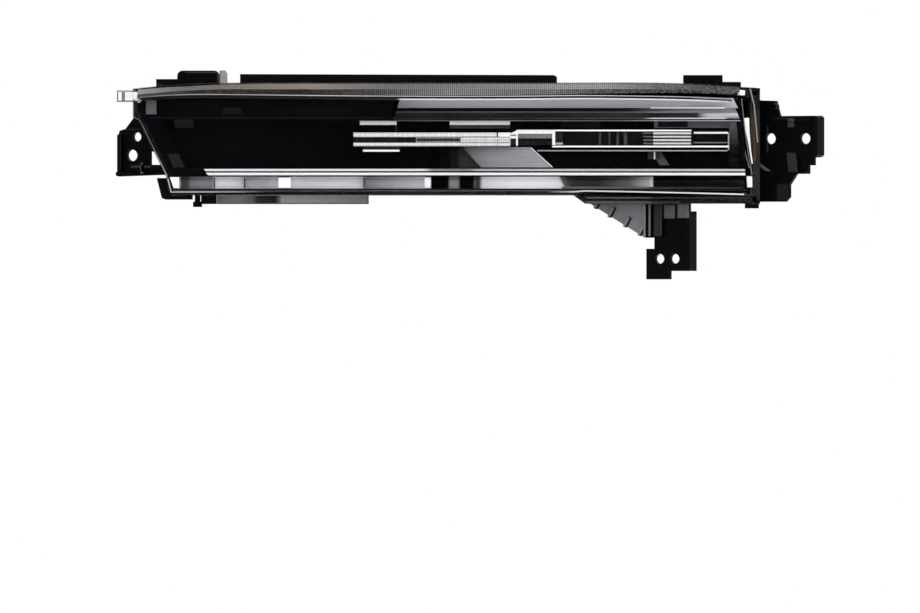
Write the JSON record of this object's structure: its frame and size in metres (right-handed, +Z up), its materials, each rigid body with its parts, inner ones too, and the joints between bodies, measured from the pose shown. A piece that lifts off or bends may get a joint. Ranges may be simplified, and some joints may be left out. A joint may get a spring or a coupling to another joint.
{
  "type": "auxiliary driving light",
  "caption": "Slim car auxiliary driving light: clear curved lens over a black housing with side brackets and a hanging leg, light bar, light guide and reflectors inside, heat sink behind.",
  "frame": {"origin": "middle of the two screw holes of the hanging leg, on the leg's back face", "axes": "+X to the right seen from the front, along the lens; +Y away from the viewer, into the car; +Z up"},
  "size_m": [0.4255, 0.0946, 0.1256],
  "materials": {
    "housing_black": "moulded black, slight gloss",
    "lens_clear": "clear hard-coated moulding",
    "seal_brown": "cured adhesive",
    "bezel_gloss": "gloss black",
    "reflector_silver": "vacuum metallised",
    "pale_silver": "vacuum metallised, satin",
    "trim_grey": "satin grey",
    "guide_clear": "polished clear",
    "bar_prismatic": "clear, prismatic",
    "frame_bright": "bright edge",
    "strip_black": "black",
    "board_green": "solder mask",
    "led_yellow": "phosphor",
    "sink_aluminium": "die cast",
    "screw_steel": "zinc plated",
    "case_black": "moulded black",
    "gasket_black": "closed-cell foam",
    "pin_tin": "tin plated"
  },
  "bodies": {
    "root": {"housing": "housing_black", "outer_lens": "lens_clear", "lens_seal": "seal_brown", "front_bezel": "bezel_gloss", "upper_reflector": "reflector_silver", "end_reflector": "pale_silver", "centre_trim": "trim_grey", "lower_reflector": "reflector_silver", "lower_light_guide": "guide_clear", "centre_light_bar": "bar_prismatic", "bar_collimator": "bar_prismatic", "bar_frame": "frame_bright", "louvre_lens": "bar_prismatic", "bar_retainers": "frame_bright", "top_seal_strip": "strip_black", "main_circuit_board": "board_green", "main_leds": "led_yellow", "guide_circuit_board": "board_green", "guide_leds": "led_yellow", "heat_sink": "sink_aluminium", "heat_sink_screws": "screw_steel", "bezel_screws": "screw_steel", "board_screws": "screw_steel", "driver_case": "case_black", "driver_gasket": "gasket_black", "driver_screws": "screw_steel", "connector_socket": "case_black", "connector_pins": "pin_tin", "vent_cap": "case_black"}
  },
  "joints": []
}
